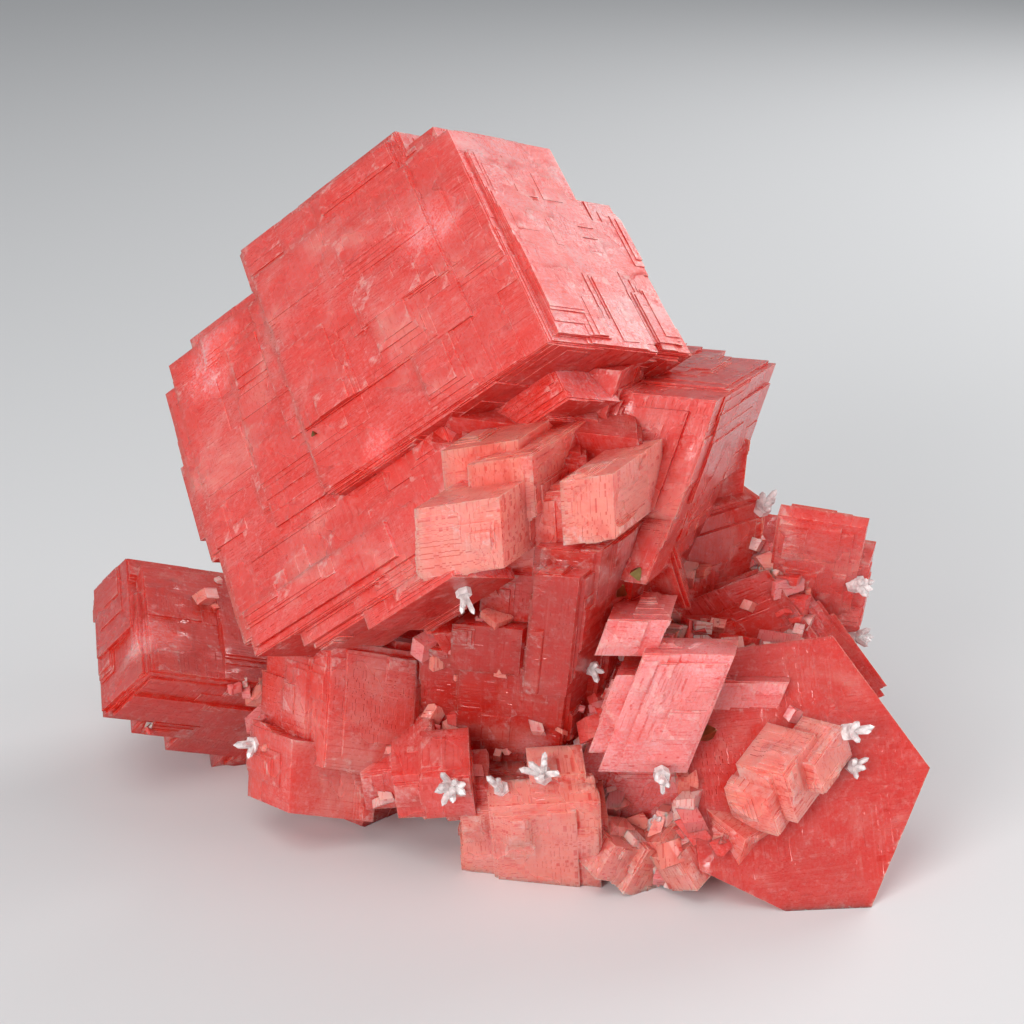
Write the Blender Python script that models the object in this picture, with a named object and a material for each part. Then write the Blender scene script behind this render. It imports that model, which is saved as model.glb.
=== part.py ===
"""Rhodochrosite specimen: a cluster of intergrown rhombohedral crystals that rests on flat
faces of its own, with small quartz sprays and brassy chalcopyrite crystals on it.

Frame: +Z up, the base on Z = 0, and the show side looks along -Y. Lengths are millimetres
until the last step, which places them in metres.
"""
import math
import random

import bmesh
import bpy
from mathutils import Matrix, Vector

MM = 0.001

# ---------------------------------------------------------------- driving dimensions
POLAR_ANGLE = 102.9         # degrees, between two edges at a rhombohedron's polar corner
CENTRING = (3.7, -12.5)      # shift that stands the middle of the outline over the origin
BASE_CUT = (160.0, 30.0)    # width and depth of the block that cuts the base flat
GAP = 0.3                   # clear space between a spray or a grain and the crystals
TERRACE_AREA = 150.0        # square mm, the least face area that carries growth steps
TERRACE_COUNTS = (1, 1, 2)  # steps on such a face, one of these at random
TERRACE_RISE = (0.3, 0.6)   # lowest and highest rise of a step
TERRACE_SEED = 11

# A lattice is how a crystal stands: azimuth and tilt of its c axis, then its spin, degrees.
CROWN = (-176, 13, 338)
WINDOW = (114, 43, 234)
PLATE = (127, 46, 247)

# Each crystal: the corner it is measured from, its lattice, and the blocks that grew on
# that lattice, each as (low, high) along the three edges that leave the corner.
CRYSTALS = {
    "crown": ((4.0, -12.5, 68.5), CROWN, [
        ((0, 35), (-42.5, 0), (0, 17)),
        ((7, 35.5), (-49, -20), (0.3, 15)),
        ((1.5, 30), (-33, -2), (16, 25)),
        ((2.5, 24), (-46, -38), (1.2, 15.5)),
        ((18, 54.5), (-40, 13), (2, 16)),
        ((24, 53.5), (8, 15.5), (1.6, 15)),
        ((24.5, 47), (12, 18), (2.4, 14)),
        ((25, 38), (14, 21), (2.8, 12)),
        ((48, 57), (-36, -3), (2.6, 13)),
        ((50, 58.5), (-22, -8), (3.2, 12)),
        ((30, 50.5), (-42.5, -30), (2.8, 14)),
        ((5, 28), (-6, 5), (6, 14)),
    ]),
    "left_bar": ((-45.0, 4.5, 21.2), (141, 21, 135), [
        ((-26, 0), (0, 40), (0, 10)),
        ((-24, -0.6), (6, 42), (4, 13.5)),
        ((-20, -1.2), (13, 42), (8, 17)),
        ((-16, -1.8), (22, 44), (12, 20.5)),
        ((-29, -12), (-1.2, 30), (1.5, 9)),
    ]),
    "ledge": ((23.0, -10.8, 61.2), (-169, 42, 131), [
        ((-15.5, 0), (0, 29), (0, 14)),
        ((-17.5, -11.5), (-1.5, 24), (0.8, 9)),
        ((-8, -0.8), (1, 30.4), (12, 22)),
        ((-21, -8), (12, 32), (-0.6, 13)),
        ((-20, -7), (1.2, 26), (2.2, 15)),
        ((-21.5, -12.5), (-3, 12), (-3, 11)),
    ]),
    "pale_block": ((-1.4, -24.8, 54.7), (121, 54, 229), [
        ((-9.8, 0), (0, 9.3), (-14.5, 0)),
        ((-6.5, 1), (-3, 5), (-22, -6)),
        ((4.5, 10.5), (0.5, 9), (-18, -5)),
        ((-11, -2), (-4.5, 2), (-18, -9)),
        ((-8, 6), (3, 14), (-30, -8)),
    ]),
    "window": ((7.4, -21.3, 44.0), WINDOW, [
        ((-5.2, 0), (0, 19), (-9, 0)),
        ((-7, 0.8), (-2.5, 6), (-16, -3)),
        ((-15.6, -7), (10, 17.5), (-14, -2)),
        ((-13, -6.8), (2.2, 9.5), (-14, -3.3)),
        ((-15, -5.5), (17, 33), (-16, -2.8)),
        ((-20, -14), (15, 31), (-16, -3.5)),
        ((-7.6, -1.2), (16.5, 31), (-14.6, -2.2)),
        ((-14, 0.4), (2.5, 30), (-30, -8)),
    ]),
    "plate": ((25.4, -16.8, 32.8), PLATE, [
        ((-10.5, 0), (0, 17.5), (-6, 0)),
        ((-12.5, -3), (3.5, 15), (-11, -0.8)),
        ((-16, -9), (-4, 1.2), (-12, -2)),
        ((-13, 8), (6, 34), (-28, -5.5)),
    ]),
    "foot": ((10.0, -17.1, 14.4), (-134, 81, 107), [
        ((-13.5, 0), (0, 3.5), (0, 18)),
        ((-17.2, -12), (0.7, 5), (1.8, 14.5)),
        ((-16, 1.5), (3, 14), (7, 20)),
        ((-8, -1), (3, 7), (-1, 8)),
    ]),
    "low_mid": ((-4.5, -15.5, 17), (-140, 78, 112), [
        ((-7, -0.5), (1, 8), (1, 7.4)),
        ((-11, -5), (2.6, 12), (2, 8.8)),
        ((-15.5, -8), (5, 16), (3.4, 9.6)),
        ((-4.5, 1.4), (3, 9), (5.6, 10.2)),
    ]),
    "toes": ((20.6, -13.6, 4.6), (-120, 60, 40), [
        ((-2.3, 2.3), (-2.1, 2.2), (-2.5, 2.4)),
        ((-3.6, 1.2), (-1.2, 4), (0.6, 5.5)),
    ]),
    "toes_left": ((15.2, -10.6, 3.0), (-70, 50, 80), [
        ((-2.4, 2.6), (-2.4, 2.3), (-3.2, 3)),
        ((-6.6, -1.8), (-1.4, 3.2), (-2.4, 2.2)),
        ((1.6, 5.2), (-0.6, 4.4), (-1.4, 4.1)),
    ]),
    "right_block": ((31.4, -2.0, 44.4), (120, 85, 280), [
        ((0, 11), (-1.4, 0), (-21, 0)),
        ((1.2, 12.2), (-4, -0.9), (-23, -9)),
        ((6, 12.5), (-4.8, 1.5), (-25.5, -19.5)),
        ((-6, 8), (-12, 0.8), (-27, -20)),
    ]),
    "middle": ((18.8, 3.0, 40.5), (-101, 62, 116), [
        ((0, 13.5), (0, 22), (0, 15)),
        ((4, 12), (2, 20), (-7, 6)),
        ((-6, 12), (-4, 12), (12, 22)),
    ]),
    "low_left": ((-19.1, 3.2, 0.4), (89, 64, 269), [
        ((-12.6, 0), (-9.5, 0), (-12, 0)),
        ((-15, -8), (-9, -1.5), (-10, -0.8)),
        ((-9, 4), (-13, -6), (-12, 1)),
    ]),
    "left_mid": ((-21.5, -7.1, 30.5), (71, 65, 125), [
        ((-12, 0), (-14, 0), (0, 17)),
        ((-18, -9), (-12, -1), (-1, 18)),
        ((-8, 3), (-12, -2), (14, 24)),
    ]),
    "tab_small": ((31.4, -17.6, 17.8), (-91, 73, 139), [
        ((0, 6.6), (0, 6), (0, 7)),
        ((3.4, 9.6), (-1.6, 3.6), (1.1, 5.4)),
        ((-1.8, 3), (1.6, 7), (2.2, 7.8)),
    ]),
    "tab_low": ((27.4, -16.7, 9.2), (-84, 76, 112), [
        ((0, 5.4), (0, 6), (0, 4.6)),
        ((4.2, 10.4), (0.5, 6), (1.2, 5.2)),
        ((2, 8.6), (0.8, 6.4), (3.9, 8.8)),
    ]),
    "core": ((4, 21, 28), (40, 25, 20), [
        ((-13, 15), (-14, 13), (-14, 14)),
        ((-10, 20), (-12, 4), (-8, 18)),
        ((-18, 8), (-8, 16), (0, 22)),
    ]),
    "heart": ((6, 4, 46), (30, 40, 10), [
        ((-14.5, 12.5), (-12.5, 10), (-11, 9)),
        ((-12, 2), (-6, 12), (-4, 12)),
    ]),
    "infill_high": ((-3.8, -12.5, 40.3), (10, 30, 50), [
        ((-1.8, 1.8), (-1.8, 1.8), (-1.8, 1.8)),
    ]),
    "infill_low": ((2, -1.9, 13.4), (60, 20, 30), [
        ((-1.8, 1.8), (-1.8, 1.8), (-1.8, 1.8)),
    ]),
    "back_right": ((30, 14, 18), (75, 50, 200), [
        ((-9, 9), (-10, 10), (-11, 10)),
        ((-5, 12), (-12, 4), (-8, 6)),
    ]),
    "back_left": ((-16, 24, 14), (200, 35, 60), [
        ((-9, 11), (-10, 9), (-8, 13)),
        ((-3, 14), (-7, 6), (-10, 4)),
    ]),
    "back_mid": ((10, 30, 20), (95, 62, 15), [
        ((-10, 10), (-9, 9), (-10, 11)),
        ((-13, 3), (-5, 11), (-7, 6)),
    ]),
    "back_foot": ((12, 26, 4), (10, 70, 340), [
        ((-10, 10), (-9, 9), (-7, 7)),
    ]),
}

# The six-sided tablet at the right: a flat basal face that looks forward.
TABLET_CENTRE = (30.3, -12.6, 13.7)
TABLET_RADIUS = 19.7
TABLET_THICK = 20.0
TABLET_BACK = 0.72          # the back's radius over the front's
TABLET_LATTICE = (-85, 70, 5)
# Where it is grown into its neighbours: cut lines on its face, as a point on the line and the
# way out of the tablet, both along the face's own two axes, down and right.
TABLET_TRIMS = (((8.5, -9.2), (0.84, -0.54)), ((0, -9.2), (0, -1)))

# Quartz: the root, the way it grows out, how many needles, their length, radius and spread.
NEEDLE_TAPER = 0.8          # a needle's end radius over its root radius
NEEDLE_POINT = 1.1          # the point's height over the root radius
ROOT_WIDTH = 2.0            # a spray's root radius over its needles' radius
ROOT_DEPTH = 0.8            # how deep a root stands in the crystals
POCKET_REACH = 1.5          # how far a pocket clears the crystals outwards
SPRAYS = {
    "quartz_rosette": ((-7.1, -13.1, 14.4), (-0.2, -0.95, 0.1), 9, 2.6, 0.6, 62),
    "quartz_foot": ((3.6, -13.8, 16.2), (-0.2, -0.6, 0.75), 6, 3.4, 0.55, 52),
    "quartz_foot_left": ((-1.2, -12.1, 13.4), (-0.35, -0.6, 0.75), 3, 2.7, 0.5, 26),
    "quartz_window": ((9.4, -11.0, 28.6), (0.5, -0.8, 0.2), 3, 2.2, 0.45, 40),
    "quartz_tooth": ((-5.4, -18.8, 41.2), (0.2, -0.7, -0.7), 3, 2.4, 0.45, 35),
    "quartz_under_plate": ((17.5, -15.5, 16.9), (0.1, -0.95, -0.1), 3, 2.6, 0.5, 24),
    "quartz_low": ((17.3, -9.0, 7.0), (0.1, -0.6, 0.8), 2, 2.4, 0.5, 16),
    "quartz_crust_top": ((30.8, 7.9, 41.8), (0.3, -0.6, 0.7), 4, 2.4, 0.55, 50),
    "quartz_crust_right": ((42.5, 6.0, 32.4), (0.6, -0.75, 0.1), 6, 2.4, 0.6, 44),
    "quartz_crust_low": ((43.3, 11.0, 23.2), (0.9, -0.4, 0.1), 5, 2.4, 0.6, 52),
    "quartz_tablet_top": ((39.7, -12.6, 21.2), (0.6, -0.7, 0.4), 4, 2.4, 0.55, 48),
    "quartz_tablet": ((40.5, -11.1, 16.0), (0.3, -0.9, 0.3), 4, 2.3, 0.5, 52),
    "quartz_left_bar": ((-32.0, 0.5, 13.2), (-0.7, -0.7, 0.1), 3, 2.0, 0.55, 50),
}

# Chalcopyrite: the crystal's centre, its size and its spin in degrees.
GRAINS = {
    "chalcopyrite_1": ((12.4, -10.9, 38.6), 2.0, 20),
    "chalcopyrite_2": ((14.2, -14.1, 41.5), 1.5, 75),
    "chalcopyrite_3": ((22.7, -11.6, 20.3), 2.2, 130),
    "chalcopyrite_4": ((-23.8, 4.8, 52.1), 0.7, 250),
}


def new_collection(name, parent=None):
    made = bpy.data.collections.new(name)
    (parent or bpy.context.scene.collection).children.link(made)
    return made


def link(obj, collection, cutter=False):
    collection.objects.link(obj)
    if cutter:
        obj.hide_render = True
        obj.display_type = "WIRE"
    return obj


def mesh_object(name, bm, collection, cutter=False):
    mesh = bpy.data.meshes.new(name)
    bm.normal_update()
    bm.to_mesh(mesh)
    bm.free()
    return link(bpy.data.objects.new(name, mesh), collection, cutter)


def boolean(obj, name, operation, operand):
    """Joins an object or a whole collection of objects to obj, or cuts it away."""
    mod = obj.modifiers.new(name, "BOOLEAN")
    mod.operation = operation
    mod.solver = "EXACT"
    if isinstance(operand, bpy.types.Collection):
        mod.operand_type = "COLLECTION"
        mod.collection = operand
    else:
        mod.object = operand


def principled(name, color, roughness, metallic=0.0, transmission=0.0):
    material = bpy.data.materials.new(name)
    material.use_nodes = True
    shader = material.node_tree.nodes["Principled BSDF"]
    shader.inputs["Base Color"].default_value = (*color, 1)
    shader.inputs["Roughness"].default_value = roughness
    shader.inputs["Metallic"].default_value = metallic
    shader.inputs["Transmission Weight"].default_value = transmission
    material.diffuse_color = (*color, 1)
    return material


# ---------------------------------------------------------------- the crystal lattice
def lattice_edges(azimuth, tilt, spin):
    """Unit vectors along the three edges that leave a rhombohedron's polar corner."""
    cosine = math.cos(math.radians(POLAR_ANGLE))
    slope = math.acos(math.sqrt((cosine + 0.5) / 1.5))
    turn = Matrix.Rotation(math.radians(azimuth), 3, "Z")
    turn = turn @ Matrix.Rotation(math.radians(tilt), 3, "Y")
    edges = []
    for k in range(3):
        phase = math.radians(spin + 120 * k)
        flat = Vector((math.cos(phase), math.sin(phase), 0)) * math.sin(slope)
        edges.append(turn @ (flat - Vector((0, 0, math.cos(slope)))))
    return edges


def placed(point):
    """A measured point, shifted so that the outline's middle stands over the origin, in metres."""
    return (Vector(point) + Vector((*CENTRING, 0))) * MM


def lattice_matrix(corner, lattice):
    """Takes lattice millimetres, counted from the crystal's corner, to metres."""
    edges = lattice_edges(*lattice)
    matrix = Matrix.Translation(placed(corner))
    for row in range(3):
        for col in range(3):
            matrix[row][col] = edges[col][row] * MM
    return matrix


def rhomb(name, spans, matrix, collection):
    """A rhombohedral block: a cube stretched to its spans and sheared onto the lattice."""
    sizes = [high - low for low, high in spans]
    middle = [(high + low) / 2 for low, high in spans]
    bm = bmesh.new()
    bmesh.ops.create_cube(bm, size=1.0)
    bmesh.ops.transform(bm, matrix=matrix @ Matrix.Translation(middle)
                        @ Matrix.Diagonal((*sizes, 1)), verts=bm.verts)
    if matrix.determinant() < 0:
        bmesh.ops.reverse_faces(bm, faces=bm.faces)
    return mesh_object(name, bm, collection, cutter=True)


def terraces(spans, rng):
    """Growth steps: on the block's large faces, thin plates that climb to one corner."""
    plates = []
    for axis in range(3):
        across = [k for k in range(3) if k != axis]
        extent = [spans[k][1] - spans[k][0] for k in across]
        if extent[0] * extent[1] < TERRACE_AREA:
            continue
        for side in (0, 1):
            corner = (rng.random() < 0.5, rng.random() < 0.5)
            share = 0.88
            height = 0.0
            for _ in range(rng.choice(TERRACE_COUNTS)):
                height += rng.uniform(*TERRACE_RISE)
                plate = [None] * 3
                for k, at_high in zip(across, corner):
                    low, high = spans[k]
                    length = (high - low) * share * rng.uniform(0.75, 1.0)
                    inset = rng.uniform(0.4, 1.2)
                    plate[k] = ((high - inset - length, high - inset) if at_high
                                else (low + inset, low + inset + length))
                face = spans[axis][side]
                plate[axis] = ((face - height, face + 2) if side == 0
                               else (face - 2, face + height))
                plates.append(plate)
                share *= rng.uniform(0.55, 0.8)
    return plates


def tablet(matrix, collection):
    """The six-sided tablet: a short frustum with its flat face forward."""
    bm = bmesh.new()
    bmesh.ops.create_cone(bm, cap_ends=True, segments=6, radius1=TABLET_RADIUS * TABLET_BACK,
                          radius2=TABLET_RADIUS, depth=TABLET_THICK)
    for point, outward in TABLET_TRIMS:
        bmesh.ops.bisect_plane(bm, geom=bm.verts[:] + bm.edges[:] + bm.faces[:], plane_co=(*point, 0),
                               plane_no=(*outward, 0), clear_outer=True)
        bmesh.ops.holes_fill(bm, edges=[edge for edge in bm.edges if edge.is_boundary])
    bmesh.ops.recalc_face_normals(bm, faces=bm.faces)
    bmesh.ops.transform(bm, matrix=matrix, verts=bm.verts)
    return mesh_object("tablet", bm, collection, cutter=True)


# ---------------------------------------------------------------- quartz and chalcopyrite
def pointed_prism(name, root, direction, length, radius, collection):
    """A quartz needle: a six-sided prism that tapers a little and ends in a point."""
    bm = bmesh.new()
    bmesh.ops.create_cone(bm, cap_ends=True, segments=6, radius1=radius,
                          radius2=radius * NEEDLE_TAPER, depth=length)
    top = max(bm.faces, key=lambda face: face.calc_center_median().z)
    tip = bmesh.ops.poke(bm, faces=[top])["verts"][0]
    tip.co.z += radius * NEEDLE_POINT
    turn = Vector((0, 0, 1)).rotation_difference(direction).to_matrix().to_4x4()
    lift = Matrix.Translation((0, 0, length / 2))
    scale = Matrix.Diagonal((MM, MM, MM, 1))
    bmesh.ops.transform(bm, matrix=Matrix.Translation(placed(root)) @ scale @ turn @ lift,
                        verts=bm.verts)
    return mesh_object(name, bm, collection, cutter=True)


def needle_directions(outward, count, spread, rng):
    """Directions that fan round outward, spread evenly by the golden angle."""
    turn = Vector((0, 0, 1)).rotation_difference(outward)
    made = []
    for k in range(count):
        lean = math.radians(spread) * math.sqrt((k + 0.5) / count)
        round_angle = k * math.radians(137.5) + rng.uniform(-0.3, 0.3)
        made.append(turn @ Vector((math.sin(lean) * math.cos(round_angle),
                                   math.sin(lean) * math.sin(round_angle), math.cos(lean))))
    return made


def stub(name, root, outward, radius, low, high, collection):
    """The six-sided root of a spray, from low to high along its outward axis."""
    bm = bmesh.new()
    bmesh.ops.create_cone(bm, cap_ends=True, segments=6, radius1=radius, radius2=radius,
                          depth=high - low)
    turn = Vector((0, 0, 1)).rotation_difference(outward).to_matrix().to_4x4()
    lift = Matrix.Translation((0, 0, (high + low) / 2))
    scale = Matrix.Diagonal((MM, MM, MM, 1))
    bmesh.ops.transform(bm, matrix=Matrix.Translation(placed(root)) @ scale @ turn @ lift,
                        verts=bm.verts)
    return mesh_object(name, bm, collection, cutter=True)


def spray(name, spec, material):
    """A quartz spray as one solid, and the pocket that holds its root."""
    root, outward, count, length, radius, spread = spec
    rng = random.Random(name)
    outward = Vector(outward).normalized()
    members = new_collection(name + "_needles", cutters)
    wide = radius * ROOT_WIDTH
    first = stub(name, root, outward, wide, -ROOT_DEPTH, ROOT_DEPTH / 2, cutters)
    stub(name + "_pocket", root, outward, wide + GAP, -ROOT_DEPTH - GAP, POCKET_REACH, pockets)
    for k, way in enumerate(needle_directions(outward, count, spread, rng)):
        long = length * rng.uniform(0.7, 1.0)
        thick = radius * rng.uniform(0.75, 1.0)
        pointed_prism(f"{name}_{k}", root, way, long, thick, members)
    show(first, name, material)
    boolean(first, "needles", "UNION", members)


def sphenoid(name, centre, size, spin, collection):
    """A chalcopyrite crystal: a wedge-shaped tetrahedron with its corners cut."""
    bm = bmesh.new()
    bmesh.ops.create_cone(bm, cap_ends=True, segments=3, radius1=size * 0.62,
                          radius2=size * 0.16, depth=size * 0.95)
    bmesh.ops.bevel(bm, geom=bm.verts[:], offset=size * 0.13, affect="VERTICES")
    turn = Matrix.Rotation(math.radians(spin), 4, "Z") @ Matrix.Rotation(math.radians(spin * 2), 4, "X")
    scale = Matrix.Diagonal((MM, MM, MM, 1))
    bmesh.ops.transform(bm, matrix=Matrix.Translation(placed(centre)) @ scale @ turn, verts=bm.verts)
    return mesh_object(name, bm, collection, cutter=True)


def grain(name, spec, material):
    centre, size, spin = spec
    show(sphenoid(name, centre, size, spin, cutters), name, material)
    sphenoid(name + "_pocket", centre, size + 3.2 * GAP, spin, pockets)


def show(obj, name, material):
    """Makes an object one of the specimen's parts."""
    for collection in list(obj.users_collection):
        collection.objects.unlink(obj)
    parts.objects.link(obj)
    obj.name = name
    obj.hide_render = False
    obj.display_type = "TEXTURED"
    obj.data.materials.append(material)


# ---------------------------------------------------------------- build
for old in list(bpy.data.objects):
    bpy.data.objects.remove(old, do_unlink=True)
parts = new_collection("rhodochrosite_specimen")
cutters = new_collection("cutters")
growth = new_collection("growth", cutters)
pockets = new_collection("pockets", cutters)

rhodochrosite_red = principled("rhodochrosite", (0.62, 0.10, 0.08), 0.3)
quartz_clear = principled("quartz", (0.90, 0.86, 0.86), 0.1, transmission=0.6)
brassy = principled("chalcopyrite", (0.56, 0.43, 0.20), 0.35, metallic=1.0)

for name, (corner, lattice, blocks) in CRYSTALS.items():
    rng = random.Random(f"{name} {TERRACE_SEED}")
    matrix = lattice_matrix(corner, lattice)
    for spans in blocks:
        rhomb(name, spans, matrix, growth)
        for plate in terraces(spans, rng):
            rhomb(name + "_terrace", plate, matrix, growth)

azimuth, tilt, spin = TABLET_LATTICE
facing = Matrix.Rotation(math.radians(azimuth), 4, "Z") @ Matrix.Rotation(math.radians(tilt), 4, "Y")
tablet_matrix = (Matrix.Translation(placed(TABLET_CENTRE)) @ facing
                 @ Matrix.Rotation(math.radians(spin), 4, "Z") @ Matrix.Diagonal((MM, MM, MM, 1))
                 @ Matrix.Translation((0, 0, -TABLET_THICK / 2)))
tablet(tablet_matrix, growth)

for name, spec in SPRAYS.items():
    spray(name, spec, quartz_clear)
for name, spec in GRAINS.items():
    grain(name, spec, brassy)

bm = bmesh.new()
bmesh.ops.create_cube(bm, size=1.0)
width, depth = BASE_CUT
bmesh.ops.transform(bm, matrix=Matrix.Translation((0, 0, -depth / 2 * MM))
                    @ Matrix.Diagonal((width * MM, width * MM, depth * MM, 1)), verts=bm.verts)
base_cutter = mesh_object("base_cutter", bm, cutters, cutter=True)

cluster = growth.objects[0]
growth.objects.unlink(cluster)
show(cluster, "rhodochrosite", rhodochrosite_red)
boolean(cluster, "intergrown", "UNION", growth)
boolean(cluster, "base", "DIFFERENCE", base_cutter)
boolean(cluster, "pockets", "DIFFERENCE", pockets)
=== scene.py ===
"""Rhodochrosite specimen: the looks of a crystal cluster with quartz and chalcopyrite."""

import math
import random

import bmesh
import bpy
import numpy as np
from bpy.props import FloatProperty, FloatVectorProperty, PointerProperty
from mathutils import Matrix, Vector
from mathutils.bvhtree import BVHTree


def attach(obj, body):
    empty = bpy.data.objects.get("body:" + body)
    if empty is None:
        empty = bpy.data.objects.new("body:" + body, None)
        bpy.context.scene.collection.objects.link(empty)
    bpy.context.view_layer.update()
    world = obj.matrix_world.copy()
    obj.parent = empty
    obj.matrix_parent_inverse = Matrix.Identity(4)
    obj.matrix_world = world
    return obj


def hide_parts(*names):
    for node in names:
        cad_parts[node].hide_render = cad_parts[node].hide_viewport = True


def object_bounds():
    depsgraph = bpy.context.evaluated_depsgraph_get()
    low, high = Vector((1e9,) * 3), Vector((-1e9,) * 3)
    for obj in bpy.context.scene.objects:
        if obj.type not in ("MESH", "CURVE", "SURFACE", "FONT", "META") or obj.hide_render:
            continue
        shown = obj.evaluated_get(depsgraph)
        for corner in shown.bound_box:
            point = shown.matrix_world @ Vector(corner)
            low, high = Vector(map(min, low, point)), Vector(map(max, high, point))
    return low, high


bl_info = {
    "name": "Rhodochrosite Specimen",
    "version": (1, 0, 0),
    "blender": (4, 5, 0),
    "location": "View3D > Sidebar > Specimen",
    "description": "Grows a rhodochrosite cluster with quartz sprays and chalcopyrite grains",
    "category": "Add Mesh",
}

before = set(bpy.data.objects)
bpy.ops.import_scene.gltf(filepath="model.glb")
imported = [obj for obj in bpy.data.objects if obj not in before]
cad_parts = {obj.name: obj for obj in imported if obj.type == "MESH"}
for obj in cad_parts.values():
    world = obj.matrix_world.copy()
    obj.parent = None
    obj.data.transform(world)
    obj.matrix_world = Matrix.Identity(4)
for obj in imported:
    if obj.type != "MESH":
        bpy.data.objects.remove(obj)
CAD_BOX = [list(corner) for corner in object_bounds()]

MM = 0.001

# ---------------------------------------------------------------- driving dimensions
POLAR_ANGLE = 102.9         # degrees, between two edges at a rhombohedron's polar corner
CENTRING = (3.7, -12.5)      # shift that stands the middle of the outline over the origin
TERRACE_AREA = 150.0        # square mm, the least face area that carries growth steps
TERRACE_COUNTS = (1, 1, 2)  # steps on such a face, one of these at random
TERRACE_RISE = (0.3, 0.6)   # lowest and highest rise of a step
TERRACE_SEED = 11

# A lattice is how a crystal stands: azimuth and tilt of its c axis, then its spin, degrees.
CROWN = (-176, 13, 338)
WINDOW = (114, 43, 234)
PLATE = (127, 46, 247)

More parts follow.
